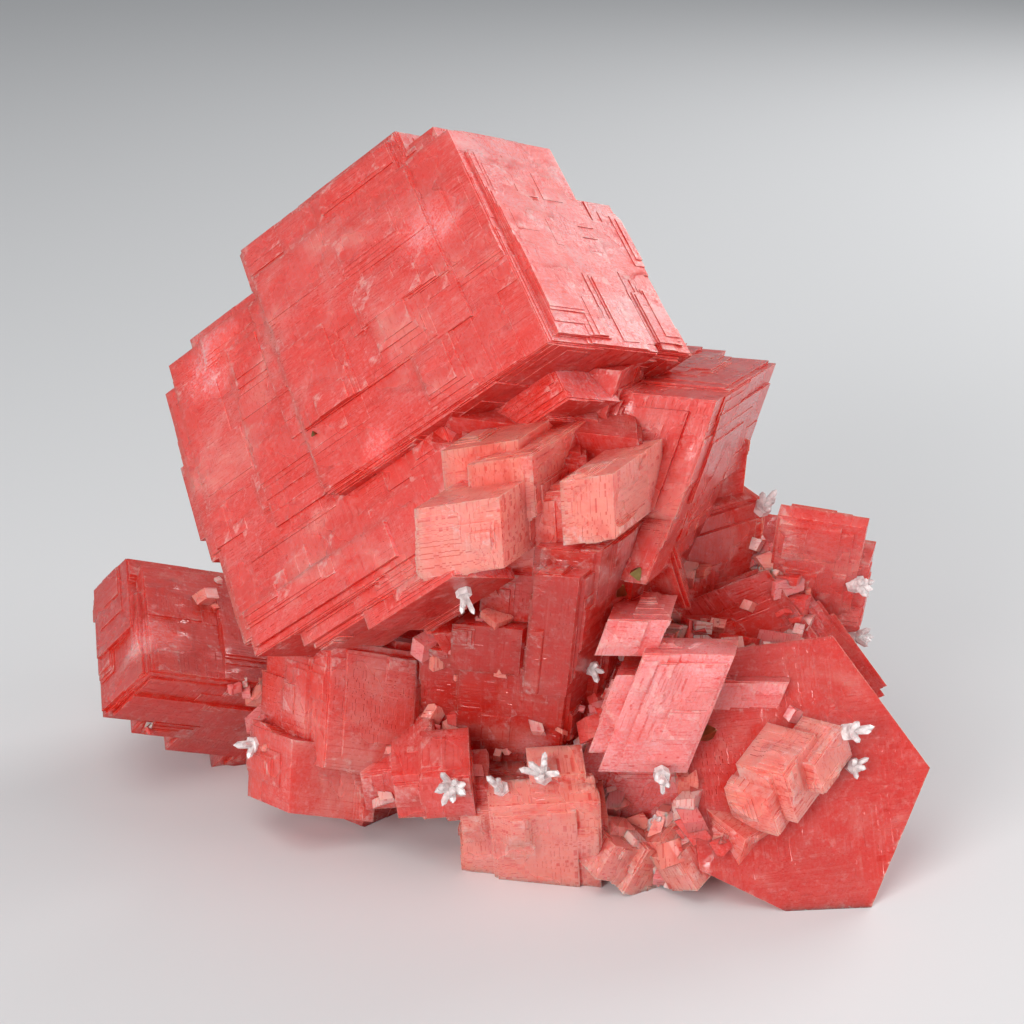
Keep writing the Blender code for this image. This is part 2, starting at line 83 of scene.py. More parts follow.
# Each crystal: the corner it is measured from, its lattice, and the blocks that grew on
# that lattice, each as (low, high) along the three edges that leave the corner.
CRYSTALS = {
    "crown": ((4.0, -12.5, 68.5), CROWN, [
        ((0, 35), (-42.5, 0), (0, 17)),
        ((7, 35.5), (-49, -20), (0.3, 15)),
        ((1.5, 30), (-33, -2), (16, 25)),
        ((2.5, 24), (-46, -38), (1.2, 15.5)),
        ((18, 54.5), (-40, 13), (2, 16)),
        ((24, 53.5), (8, 15.5), (1.6, 15)),
        ((24.5, 47), (12, 18), (2.4, 14)),
        ((25, 38), (14, 21), (2.8, 12)),
        ((48, 57), (-36, -3), (2.6, 13)),
        ((50, 58.5), (-22, -8), (3.2, 12)),
        ((30, 50.5), (-42.5, -30), (2.8, 14)),
        ((5, 28), (-6, 5), (6, 14)),
    ]),
    "left_bar": ((-45.0, 4.5, 21.2), (141, 21, 135), [
        ((-26, 0), (0, 40), (0, 10)),
        ((-24, -0.6), (6, 42), (4, 13.5)),
        ((-20, -1.2), (13, 42), (8, 17)),
        ((-16, -1.8), (22, 44), (12, 20.5)),
        ((-29, -12), (-1.2, 30), (1.5, 9)),
    ]),
    "ledge": ((23.0, -10.8, 61.2), (-169, 42, 131), [
        ((-15.5, 0), (0, 29), (0, 14)),
        ((-17.5, -11.5), (-1.5, 24), (0.8, 9)),
        ((-8, -0.8), (1, 30.4), (12, 22)),
        ((-21, -8), (12, 32), (-0.6, 13)),
        ((-20, -7), (1.2, 26), (2.2, 15)),
        ((-21.5, -12.5), (-3, 12), (-3, 11)),
    ]),
    "pale_block": ((-1.4, -24.8, 54.7), (121, 54, 229), [
        ((-9.8, 0), (0, 9.3), (-14.5, 0)),
        ((-6.5, 1), (-3, 5), (-22, -6)),
        ((4.5, 10.5), (0.5, 9), (-18, -5)),
        ((-11, -2), (-4.5, 2), (-18, -9)),
        ((-8, 6), (3, 14), (-30, -8)),
    ]),
    "window": ((7.4, -21.3, 44.0), WINDOW, [
        ((-5.2, 0), (0, 19), (-9, 0)),
        ((-7, 0.8), (-2.5, 6), (-16, -3)),
        ((-15.6, -7), (10, 17.5), (-14, -2)),
        ((-13, -6.8), (2.2, 9.5), (-14, -3.3)),
        ((-15, -5.5), (17, 33), (-16, -2.8)),
        ((-20, -14), (15, 31), (-16, -3.5)),
        ((-7.6, -1.2), (16.5, 31), (-14.6, -2.2)),
        ((-14, 0.4), (2.5, 30), (-30, -8)),
    ]),
    "plate": ((25.4, -16.8, 32.8), PLATE, [
        ((-10.5, 0), (0, 17.5), (-6, 0)),
        ((-12.5, -3), (3.5, 15), (-11, -0.8)),
        ((-16, -9), (-4, 1.2), (-12, -2)),
        ((-13, 8), (6, 34), (-28, -5.5)),
    ]),
    "foot": ((10.0, -17.1, 14.4), (-134, 81, 107), [
        ((-13.5, 0), (0, 3.5), (0, 18)),
        ((-17.2, -12), (0.7, 5), (1.8, 14.5)),
        ((-16, 1.5), (3, 14), (7, 20)),
        ((-8, -1), (3, 7), (-1, 8)),
    ]),
    "low_mid": ((-4.5, -15.5, 17), (-140, 78, 112), [
        ((-7, -0.5), (1, 8), (1, 7.4)),
        ((-11, -5), (2.6, 12), (2, 8.8)),
        ((-15.5, -8), (5, 16), (3.4, 9.6)),
        ((-4.5, 1.4), (3, 9), (5.6, 10.2)),
    ]),
    "toes": ((20.6, -13.6, 4.6), (-120, 60, 40), [
        ((-2.3, 2.3), (-2.1, 2.2), (-2.5, 2.4)),
        ((-3.6, 1.2), (-1.2, 4), (0.6, 5.5)),
    ]),
    "toes_left": ((15.2, -10.6, 3.0), (-70, 50, 80), [
        ((-2.4, 2.6), (-2.4, 2.3), (-3.2, 3)),
        ((-6.6, -1.8), (-1.4, 3.2), (-2.4, 2.2)),
        ((1.6, 5.2), (-0.6, 4.4), (-1.4, 4.1)),
    ]),
    "right_block": ((31.4, -2.0, 44.4), (120, 85, 280), [
        ((0, 11), (-1.4, 0), (-21, 0)),
        ((1.2, 12.2), (-4, -0.9), (-23, -9)),
        ((6, 12.5), (-4.8, 1.5), (-25.5, -19.5)),
        ((-6, 8), (-12, 0.8), (-27, -20)),
    ]),
    "middle": ((18.8, 3.0, 40.5), (-101, 62, 116), [
        ((0, 13.5), (0, 22), (0, 15)),
        ((4, 12), (2, 20), (-7, 6)),
        ((-6, 12), (-4, 12), (12, 22)),
    ]),
    "low_left": ((-19.1, 3.2, 0.4), (89, 64, 269), [
        ((-12.6, 0), (-9.5, 0), (-12, 0)),
        ((-15, -8), (-9, -1.5), (-10, -0.8)),
        ((-9, 4), (-13, -6), (-12, 1)),
    ]),
    "left_mid": ((-21.5, -7.1, 30.5), (71, 65, 125), [
        ((-12, 0), (-14, 0), (0, 17)),
        ((-18, -9), (-12, -1), (-1, 18)),
        ((-8, 3), (-12, -2), (14, 24)),
    ]),
    "tab_small": ((31.4, -17.6, 17.8), (-91, 73, 139), [
        ((0, 6.6), (0, 6), (0, 7)),
        ((3.4, 9.6), (-1.6, 3.6), (1.1, 5.4)),
        ((-1.8, 3), (1.6, 7), (2.2, 7.8)),
    ]),
    "tab_low": ((27.4, -16.7, 9.2), (-84, 76, 112), [
        ((0, 5.4), (0, 6), (0, 4.6)),
        ((4.2, 10.4), (0.5, 6), (1.2, 5.2)),
        ((2, 8.6), (0.8, 6.4), (3.9, 8.8)),
    ]),
    "core": ((4, 21, 28), (40, 25, 20), [
        ((-13, 15), (-14, 13), (-14, 14)),
        ((-10, 20), (-12, 4), (-8, 18)),
        ((-18, 8), (-8, 16), (0, 22)),
    ]),
    "heart": ((6, 4, 46), (30, 40, 10), [
        ((-14.5, 12.5), (-12.5, 10), (-11, 9)),
        ((-12, 2), (-6, 12), (-4, 12)),
    ]),
    "infill_high": ((-3.8, -12.5, 40.3), (10, 30, 50), [
        ((-1.8, 1.8), (-1.8, 1.8), (-1.8, 1.8)),
    ]),
    "infill_low": ((2, -1.9, 13.4), (60, 20, 30), [
        ((-1.8, 1.8), (-1.8, 1.8), (-1.8, 1.8)),
    ]),
    "back_right": ((30, 14, 18), (75, 50, 200), [
        ((-9, 9), (-10, 10), (-11, 10)),
        ((-5, 12), (-12, 4), (-8, 6)),
    ]),
    "back_left": ((-16, 24, 14), (200, 35, 60), [
        ((-9, 11), (-10, 9), (-8, 13)),
        ((-3, 14), (-7, 6), (-10, 4)),
    ]),
    "back_mid": ((10, 30, 20), (95, 62, 15), [
        ((-10, 10), (-9, 9), (-10, 11)),
        ((-13, 3), (-5, 11), (-7, 6)),
    ]),
    "back_foot": ((12, 26, 4), (10, 70, 340), [
        ((-10, 10), (-9, 9), (-7, 7)),
    ]),
}

# The six-sided tablet at the right: a flat basal face that looks forward.
TABLET_CENTRE = (30.3, -12.6, 13.7)
TABLET_RADIUS = 19.7
TABLET_THICK = 20.0
TABLET_BACK = 0.72          # the back's radius over the front's
TABLET_LATTICE = (-85, 70, 5)
# Where it is grown into its neighbours: cut lines on its face, as a point on the line and the
# way out of the tablet, both along the face's own two axes, down and right.
TABLET_TRIMS = (((8.5, -9.2), (0.84, -0.54)), ((0, -9.2), (0, -1)))


# ---------------------------------------------------------------- looks of each crystal
# Tints are sRGB hex. Each crystal: its tint, then how deep (red glow: a clearer face, painted
# deeper red where the crystal behind it is thick), how frosted and how strongly lined its faces
# are, for the three pairs of faces across its edges.
TINTS = {
    "rose": "EC524A", "deep": "DE2A1A", "glow": "E82E1C", "salmon": "F89484", "red": "EC4434",
    "pale": "FBC8C0", "frost": "E8BCC0", "pink": "EE8684",
}
LOOKS = {
    "crown": ("rose", (0.0, 0.85, 0.1), (0.75, 0.05, 0.2), (0.9, 0.5, 1.0)),
    "left_bar": ("red", (0.8, 0.5, 0.35), (0.1, 0.2, 0.1), (0.6, 0.6, 0.6)),
    "ledge": ("rose", (0.3, 0.35, 0.2), (0.2, 0.2, 0.25), (0.7, 1.0, 0.8)),
    "pale_block": ("salmon", (0.0, 0.1, 0.0), (0.25, 0.3, 0.2), (0.3, 0.3, 0.3)),
    "window": ("red", (0.9, 0.6, 0.8), (0.05, 0.25, 0.1), (0.5, 0.6, 0.4)),
    "plate": ("pink", (0.2, 0.3, 0.1), (0.3, 0.2, 0.6), (0.6, 0.5, 1.0)),
    "foot": ("salmon", (0.2, 0.2, 0.2), (0.25, 0.3, 0.2), (0.6, 0.6, 0.6)),
    "low_mid": ("rose", (0.4, 0.4, 0.3), (0.2, 0.3, 0.2), (0.6, 0.7, 0.6)),
    "toes": ("salmon", (0.4, 0.3, 0.3), (0.2, 0.3, 0.2), (0.6, 0.6, 0.6)),
    "toes_left": ("salmon", (0.3, 0.3, 0.3), (0.2, 0.3, 0.2), (0.6, 0.6, 0.6)),
    "tab_low": ("salmon", (0.3, 0.2, 0.3), (0.3, 0.3, 0.2), (0.6, 0.6, 0.6)),
    "right_block": ("rose", (0.3, 0.2, 0.2), (0.2, 0.3, 0.2), (0.8, 1.0, 0.8)),
    "middle": ("red", (0.5, 0.4, 0.5), (0.15, 0.2, 0.1), (0.7, 0.7, 0.8)),
    "low_left": ("red", (0.8, 0.8, 0.6), (0.05, 0.1, 0.1), (0.5, 0.5, 0.6)),
    "left_mid": ("red", (0.3, 0.4, 0.3), (0.3, 0.2, 0.3), (1.0, 0.8, 0.9)),
    "tab_small": ("salmon", (0.2, 0.2, 0.2), (0.4, 0.4, 0.3), (0.6, 0.6, 0.6)),
    "tablet": ("rose", (0.25, 0.3, 0.35), (0.15, 0.15, 0.15), (0.6, 0.6, 0.6)),
}
PLAIN = ("rose", (0.5, 0.5, 0.5), (0.15, 0.15, 0.15), (0.6, 0.6, 0.6))


def linear(code):
    """An sRGB hex colour as the linear colour that a shader takes."""
    values = [int(code[k:k + 2], 16) / 255 for k in (0, 2, 4)]
    return tuple(v / 12.92 if v <= 0.04045 else ((v + 0.055) / 1.055) ** 2.4 for v in values)


# ---------------------------------------------------------------- the crystal lattice
def lattice_edges(azimuth, tilt, spin):
    """Unit vectors along the three edges that leave a rhombohedron's polar corner."""
    cosine = math.cos(math.radians(POLAR_ANGLE))
    slope = math.acos(math.sqrt((cosine + 0.5) / 1.5))
    turn = Matrix.Rotation(math.radians(azimuth), 3, "Z")
    turn = turn @ Matrix.Rotation(math.radians(tilt), 3, "Y")
    edges = []
    for k in range(3):
        phase = math.radians(spin + 120 * k)
        flat = Vector((math.cos(phase), math.sin(phase), 0)) * math.sin(slope)
        edges.append(turn @ (flat - Vector((0, 0, math.cos(slope)))))
    return edges


def placed(point):
    """A measured point, shifted so that the outline's middle stands over the origin, in metres."""
    return (Vector(point) + Vector((*CENTRING, 0))) * MM


def lattice_matrix(corner, lattice):
    """Takes lattice millimetres, counted from the crystal's corner, to metres."""
    edges = lattice_edges(*lattice)
    matrix = Matrix.Translation(placed(corner))
    for row in range(3):
        for col in range(3):
            matrix[row][col] = edges[col][row] * MM
    return matrix


def terraces(spans, rng):
    """Growth steps: on the block's large faces, thin plates that climb to one corner."""
    plates = []
    for axis in range(3):
        across = [k for k in range(3) if k != axis]
        extent = [spans[k][1] - spans[k][0] for k in across]
        if extent[0] * extent[1] < TERRACE_AREA:
            continue
        for side in (0, 1):
            corner = (rng.random() < 0.5, rng.random() < 0.5)
            share = 0.88
            height = 0.0
            for _ in range(rng.choice(TERRACE_COUNTS)):
                height += rng.uniform(*TERRACE_RISE)
                plate = [None] * 3
                for k, at_high in zip(across, corner):
                    low, high = spans[k]
                    length = (high - low) * share * rng.uniform(0.75, 1.0)
                    inset = rng.uniform(0.4, 1.2)
                    plate[k] = ((high - inset - length, high - inset) if at_high
                                else (low + inset, low + inset + length))
                face = spans[axis][side]
                plate[axis] = ((face - height, face + 2) if side == 0
                               else (face - 2, face + height))
                plates.append(plate)
                share *= rng.uniform(0.55, 0.8)
    return plates


def fine_steps(spans, rng, settings):
    """Low nested rhombs on every face: the finest ledges that still catch the light."""
    plates = []
    for axis in range(3):
        across = [k for k in range(3) if k != axis]
        extent = [spans[k][1] - spans[k][0] for k in across]
        area = extent[0] * extent[1]
        if min(extent) < 3:
            continue
        for side in (0, 1):
            face = spans[axis][side]
            for _ in range(max(1, round(area / settings.ledge_area))):
                centre = [rng.uniform(*spans[k]) for k in across]
                reach = [min(e, 26) * rng.uniform(0.16, 0.5) for e in extent]
                height = 0.0
                drift = (rng.uniform(-0.9, 0.9), rng.uniform(-0.9, 0.9))
                for _ in range(rng.choice((2, 3, 3, 4, 5))):
                    height += rng.uniform(0.5, 1.3) * settings.ledge_rise
                    plate = [None] * 3
                    for k, mid, half in zip(across, centre, reach):
                        low, high = spans[k]
                        plate[k] = (max(low + 0.15, mid - half), min(high - 0.15, mid + half))
                    if any(plate[k][1] - plate[k][0] < 0.5 for k in across):
                        break
                    plate[axis] = ((face - height, face + 1) if side == 0
                                   else (face - 1, face + height))
                    plates.append(plate)
                    shrink = [rng.uniform(0.62, 0.93) for _ in across]
                    centre = [mid + d * half * (1 - s)
                              for mid, d, half, s in zip(centre, drift, reach, shrink)]
                    reach = [half * s for half, s in zip(reach, shrink)]
    return plates


def inside_box(matrix, spans):
    """Whether a block stays within the solid model's outline; under the base doesn't count."""
    low, high = CAD_BOX
    for corner in range(8):
        point = matrix @ Vector([spans[k][corner >> k & 1] for k in range(3)])
        if any(point[k] > high[k] for k in range(3)):
            return False
        if any(point[k] < low[k] for k in range(2)):
            return False
    return True


def tablet_matrix():
    azimuth, tilt, spin = TABLET_LATTICE
    facing = (Matrix.Rotation(math.radians(azimuth), 4, "Z")
              @ Matrix.Rotation(math.radians(tilt), 4, "Y"))
    return (Matrix.Translation(placed(TABLET_CENTRE)) @ facing
            @ Matrix.Rotation(math.radians(spin), 4, "Z") @ Matrix.Diagonal((MM, MM, MM, 1))
            @ Matrix.Translation((0, 0, -TABLET_THICK / 2)))


# ---------------------------------------------------------------- small helpers
def clear_selection():
    if bpy.context.object and bpy.context.object.mode != "OBJECT":
        bpy.ops.object.mode_set(mode="OBJECT")
    bpy.ops.object.select_all(action="DESELECT")


def choose(obj):
    clear_selection()
    obj.select_set(True)
    bpy.context.view_layer.objects.active = obj
    return obj


def copied(pattern, name, matrix, collection):
    """A copy of a modelled pattern, with its own mesh, its place in the mesh."""
    mesh = pattern.data.copy()
    mesh.transform(matrix)
    if matrix.determinant() < 0:
        mesh.flip_normals()
    obj = bpy.data.objects.new(name, mesh)
    collection.objects.link(obj)
    return obj


def node(tree, kind, settings=None, **links):
    """Adds a node. Settings are its properties; links fill its sockets, by value or from another
    node's output, the first one where only the node is given. A socket's name is written with
    underscores, and in_3 is its fourth socket."""
    made = tree.nodes.new(kind)
    for key, value in (settings or {}).items():
        setattr(made, key, value)
    for key, value in links.items():
        if key.startswith("in_"):
            socket = made.inputs[int(key[3:])]
        else:
            socket = made.inputs[key.replace("_", " ")]
        if isinstance(value, bpy.types.Node):
            value = value.outputs[0]
        if isinstance(value, bpy.types.NodeSocket):
            tree.links.new(value, socket)
        else:
            socket.default_value = value
    return made


# ---------------------------------------------------------------- the cluster
def grown_blocks(settings):
    """Every block of the cluster, fine ledges among them: crystal, matrix and spans."""
    blocks = []
    for name, (corner, lattice, stack) in CRYSTALS.items():
        rng = random.Random(f"{name} {TERRACE_SEED}")
        fine = random.Random(f"{name} fine")
        matrix = lattice_matrix(corner, lattice)
        for spans in stack:
            blocks.append((name, matrix, spans))
            steps = terraces(spans, rng)
            blocks += [(name, matrix, plate) for plate in steps]
            if name in LOOKS:
                for base in [spans] + steps:
                    blocks += [(name, matrix, plate) for plate in fine_steps(base, fine, settings)
                               if inside_box(matrix, plate)]
    return blocks


def read_faces(mesh):
    count = len(mesh.polygons)
    centres = np.empty(count * 3)
    normals = np.empty(count * 3)
    mesh.polygons.foreach_get("center", centres)
    mesh.polygons.foreach_get("normal", normals)
    return centres.reshape(-1, 3), normals.reshape(-1, 3)


def face_lattice(mesh, blocks):
    """For each face, the crystal and the axis across it, found from the blocks' own planes."""
    centres, normals = read_faces(mesh)
    crystal = np.full(len(centres), -1)
    axis = np.full(len(centres), 2)
    names = sorted({name for name, _, _ in blocks})
    for index, name in enumerate(names):
        own = [(matrix, spans) for other, matrix, spans in blocks if other == name]
        inverse = np.array(own[0][0].inverted())
        local = centres @ inverse[:3, :3].T + inverse[:3, 3]
        across = inverse[:3, :3] / np.linalg.norm(inverse[:3, :3], axis=1)[:, None]
        facing = np.abs(normals @ across.T) > 0.9995
        for _, spans in own:
            low = np.array([s[0] for s in spans]) - 0.02
            high = np.array([s[1] for s in spans]) + 0.02
            within = ((local > low) & (local < high)).all(1) & (crystal < 0)
            if not within.any():
                continue
            for k in range(3):
                near = np.minimum(abs(local[:, k] - spans[k][0]), abs(local[:, k] - spans[k][1]))
                hit = within & facing[:, k] & (near < 0.01)
                crystal[hit] = index
                axis[hit] = k
    return names, crystal, axis


def write_growth(mesh, blocks):
    """Stores each face's lattice millimetres as the UV map, and its crystal's looks."""
    names, crystal, axis = face_lattice(mesh, blocks)
    loops = len(mesh.loops)
    verts = np.empty(len(mesh.vertices) * 3)
    mesh.vertices.foreach_get("co", verts)
    verts = verts.reshape(-1, 3)
    vert_of = np.empty(loops, dtype=np.int32)
    mesh.loops.foreach_get("vertex_index", vert_of)
    totals = np.empty(len(mesh.polygons), dtype=np.int32)
    mesh.polygons.foreach_get("loop_total", totals)
    face_of = np.repeat(np.arange(len(totals)), totals)
    corner = verts[vert_of]
    uv = np.empty((loops, 2))
    looks = np.zeros((loops, 4))
    tint = np.ones((loops, 4))
    tablet = np.array(tablet_matrix().inverted())
    matrices = {name: matrix for name, matrix, _ in blocks}
    rest = crystal[face_of] < 0
    local = corner @ tablet[:3, :3].T + tablet[:3, 3]
    uv[:] = local[:, :2] + 300
    for index, name in enumerate(names + ["tablet"]):
        chosen = rest if name == "tablet" else crystal[face_of] == index
        colour, deep, frost, lined = LOOKS.get(name, PLAIN)
        side = axis[face_of]
        looks[chosen, 0] = np.array(deep)[side[chosen]]
        looks[chosen, 1] = np.array(frost)[side[chosen]]
        looks[chosen, 2] = np.array(lined)[side[chosen]]
        tint[chosen, :3] = linear(TINTS[colour])
        if name == "tablet":
            continue
        inverse = np.array(matrices[name].inverted())
        local = corner @ inverse[:3, :3].T + inverse[:3, 3]
        for k in range(3):
            own = chosen & (side == k)
            a, b = [j for j in range(3) if j != k]
            uv[own, 0] = local[own, a] + 61 * index
            uv[own, 1] = local[own, b] + 37 * k
    layer = mesh.uv_layers.new(name="lattice")
    layer.data.foreach_set("uv", uv.ravel())
    for title, values in (("looks", looks), ("tint", tint)):
        attribute = mesh.attributes.new(title, "FLOAT_COLOR", "CORNER")
        attribute.data.foreach_set("color", values.ravel())


# Small broken rhombs: for each zone its middle and reach on the scene axes, how many lie there
# at most, and their least and greatest size, all in mm.
CRUMB_ZONES = (
    ((27, -15, 6), 13, 70, (0.8, 2.6)), ((12, -13, 6), 11, 60, (0.7, 2.2)),
    ((-3, -12, 10), 11, 50, (0.6, 1.8)), ((-20, -8, 10), 13, 45, (0.7, 2.2)),
    ((12, -12, 22), 11, 40, (0.5, 1.7)), ((30, -8, 28), 11, 60, (0.7, 2.4)),
    ((2, -14, 33), 11, 34, (0.5, 1.6)), ((-36, -4, 10), 12, 8, (0.5, 1.3)),
    ((36, -14, 16), 10, 30, (0.6, 2.0)), ((10, 4, 46), 12, 24, (0.5, 1.6)),
    ((0, 18, 12), 24, 60, (0.8, 2.6)), ((26, 12, 20), 18, 40, (0.8, 2.4)),
    ((-24, 16, 14), 18, 40, (0.8, 2.6)),
)
CRUMB_DEEP, CRUMB_FROST, CRUMB_LINED = 0.35, 0.5, 0.3   # a small rhomb's looks, at the most
CRUMB_SHELTER, CRUMB_THICK, CRUMB_RIM = 0.35, 0.2, 0.6   # and its depth values
CRUMB_TINTS = ("salmon", "salmon", "pale", "pink", "rose")
HALF_CUBE = [(x, y, z) for x in (-0.5, 0.5) for y in (-0.5, 0.5) for z in (-0.5, 0.5)]
CRUMB_GLOW = 0.0005   # light runs less far in a small crystal, m


def crumb_places(piece, rng):
    """Spots in the seams of the cluster where small crystals grew or broken ones stuck."""
    mesh = piece.data
    shelter = np.empty(len(mesh.vertices) * 4)
    mesh.attributes["depth"].data.foreach_get("color", shelter)
    shelter = shelter[::4]
    points = np.empty(len(mesh.vertices) * 3)
    mesh.vertices.foreach_get("co", points)
    points = points.reshape(-1, 3) / MM
    for middle, reach, count, sizes in CRUMB_ZONES:
        apart = np.linalg.norm(points - np.array(middle), axis=1)
        near = np.flatnonzero((apart < reach) & (shelter > 0.3) & (shelter < 0.85)
                              & (points[:, 2] > 0.4))
        for _ in range(min(count, len(near))):
            vertex = mesh.vertices[int(near[rng.randrange(len(near))])]
            size = sizes[0] + (sizes[1] - sizes[0]) * rng.random() ** 2
            yield vertex.co.copy(), vertex.normal.copy(), size, shelter[vertex.index]


# Frosted patches: middle and reach in mm on the measured axes, then strength.
FROST_PATCHES = (
    ((-39, 32, 53), 8, 1.0), ((-10, 14, 75), 7, 0.8), ((-15.6, -3.8, 53.4), 4, 0.8),
    ((-46, 13, 22), 6, 0.9), ((35.6, 5.8, 28), 5, 0.8), ((22, -16, 31), 6, 0.8),
    ((38.5, -12.4, 20.6), 5, 0.7), ((3.4, -7.8, 15), 5, 0.6), ((5.6, 3.2, 72.7), 9, 0.45),
)


def frosting(points):
    """How frosted each point is, from the patches."""
    found = np.zeros(len(points))
    for middle, reach, strength in FROST_PATCHES:
        apart = np.linalg.norm(points - np.array(placed(middle)), axis=1) / (reach * MM)
        found = np.maximum(found, strength * np.clip(1.5 * (1 - apart), 0, 1))
    return found


def refine(obj, longest):
    """Splits long edges, so that values stored on the vertices follow the surface."""
    choose(obj)
    bpy.ops.object.mode_set(mode="EDIT")
    bpy.ops.mesh.select_mode(type="EDGE")
    bpy.ops.mesh.select_all(action="SELECT")
    bpy.ops.mesh.quads_convert_to_tris(quad_method="BEAUTY", ngon_method="BEAUTY")
    for _ in range(5):
        bpy.ops.mesh.select_all(action="DESELECT")
        bpy.ops.object.mode_set(mode="OBJECT")
        mesh = obj.data
        ends = np.empty(len(mesh.edges) * 2, dtype=np.int32)
        mesh.edges.foreach_get("vertices", ends)
        verts = np.empty(len(mesh.vertices) * 3)
        mesh.vertices.foreach_get("co", verts)
        verts = verts.reshape(-1, 3)
        ends = ends.reshape(-1, 2)
        long = np.linalg.norm(verts[ends[:, 0]] - verts[ends[:, 1]], axis=1) > longest
        if not long.any():
            return
        mesh.edges.foreach_set("select", long)
        bpy.ops.object.mode_set(mode="EDIT")
        bpy.ops.mesh.subdivide(number_cuts=1, smoothness=0)
    bpy.ops.object.mode_set(mode="OBJECT")


def fan_of_rays(count, widest):
    """Directions round +Z, spread evenly by the golden angle."""
    made = []
    for k in range(count):
        lean = math.radians(widest) * math.sqrt((k + 0.5) / count)
        turn = k * math.radians(137.5)
        made.append(Vector((math.sin(lean) * math.cos(turn), math.sin(lean) * math.sin(turn),
                            math.cos(lean))))
    return made


def write_depth(obj, tree, reach):
    """Stores on each vertex how sheltered it is, and how thick the crystal is behind it: the colour
    paints shade and glow in the hollows by the one, and deeper red in thick crystal by the other.
    """
    mesh = obj.data
    outward = fan_of_rays(12, 80)
    inward = fan_of_rays(5, 40)
    up = Vector((0, 0, 1))
    values = np.zeros((len(mesh.vertices), 4))
    for vertex in mesh.vertices:
        normal = vertex.normal
        turn = up.rotation_difference(normal)
        start = vertex.co + normal * 0.00005
        shut = 0.0
        for ray in outward:
            hit = tree.ray_cast(start, turn @ ray, reach)
            if hit[0] is not None:
                shut += 1 - 0.5 * hit[3] / reach
        turn = up.rotation_difference(-normal)
        start = vertex.co - normal * 0.00005
        thick = 0.0
        for ray in inward:
            hit = tree.ray_cast(start, turn @ ray, 0.03)
            thick += hit[3] if hit[0] is not None else 0.03
        values[vertex.index, 0] = shut / len(outward)
        values[vertex.index, 1] = thick / len(inward) / 0.03
    points = np.empty(len(mesh.vertices) * 3)
    mesh.vertices.foreach_get("co", points)
    values[:, 3] = frosting(points.reshape(-1, 3))
    shape = bmesh.new()
    shape.from_mesh(mesh)
    for edge in shape.edges:
        if len(edge.link_faces) == 2 and edge.is_convex and edge.calc_face_angle() > 0.6:
            if min(face.calc_area() for face in edge.link_faces) > 2e-8:
                for vertex in edge.verts:
                    values[vertex.index, 2] = 1
    shape.free()
    attribute = mesh.attributes.new("depth", "FLOAT_COLOR", "POINT")
    attribute.data.foreach_set("color", values.ravel())


# Settings that several nodes share.
TIMES = {"operation": "MULTIPLY"}
PLUS = {"operation": "ADD"}
SMOOTH = {"interpolation_type": "SMOOTHSTEP"}
MIX_COLOURS = {"data_type": "RGBA"}
MIX_VALUES = {"data_type": "FLOAT"}
FLAT_NOISE = {"noise_dimensions": "2D"}
LINE_NOISE = {"noise_dimensions": "1D"}

# Growth steps drawn on a face: how often they come per mm, how many there are over the noise's
# range, how far they jog in mm, and a seed. The first set runs along one edge, the second along
# the other.
STEP_SETS = ((0.16, 16.0, 22.0, 3.1), (0.21, 13.0, 16.0, 11.3))
STEP_HEIGHT = 0.06      # mm
LINE_HEIGHT = 0.045     # mm, of the finest growth lines
FROST_HEIGHT = 0.12     # mm, of the grain on frosted faces


def ledge_lines(tree, along, across, density, levels, jog, seed):
    """Growth steps that run along one lattice edge and jog by short stretches of the other.
    Gives the height in steps, and how close a point is to the foot of a step."""
    moved = node(tree, "ShaderNodeMath", PLUS, in_0=along, in_1=seed)
    jogs = node(tree, "ShaderNodeTexNoise", LINE_NOISE, W=moved, Scale=0.33, Detail=2.0,
                Roughness=0.55)
    jogs = node(tree, "ShaderNodeMath", {"operation": "SNAP"}, in_0=jogs, in_1=0.07)
    jogs = node(tree, "ShaderNodeMath", TIMES, in_0=jogs, in_1=jog)
    shifted = node(tree, "ShaderNodeMath", PLUS, in_0=across, in_1=jogs)
    shifted = node(tree, "ShaderNodeMath", PLUS, in_0=shifted, in_1=seed * 2.3)
    steps = node(tree, "ShaderNodeTexNoise", LINE_NOISE, W=shifted, Scale=density, Detail=2.0,
                 Roughness=0.55)
    steps = node(tree, "ShaderNodeMath", TIMES, in_0=steps, in_1=levels)
    part = node(tree, "ShaderNodeMath", {"operation": "FRACT"}, in_0=steps)
    riser = node(tree, "ShaderNodeMapRange", SMOOTH, Value=part, in_1=0.0, in_2=0.12, in_3=0.0,
                 in_4=1.0)
    level = node(tree, "ShaderNodeMath", {"operation": "FLOOR"}, in_0=steps)
    height = node(tree, "ShaderNodeMath", PLUS, in_0=level, in_1=riser)
    foot = node(tree, "ShaderNodeMapRange", SMOOTH, Value=part, in_1=0.04, in_2=0.2, in_3=1.0,
                in_4=0.0)
    return height, foot


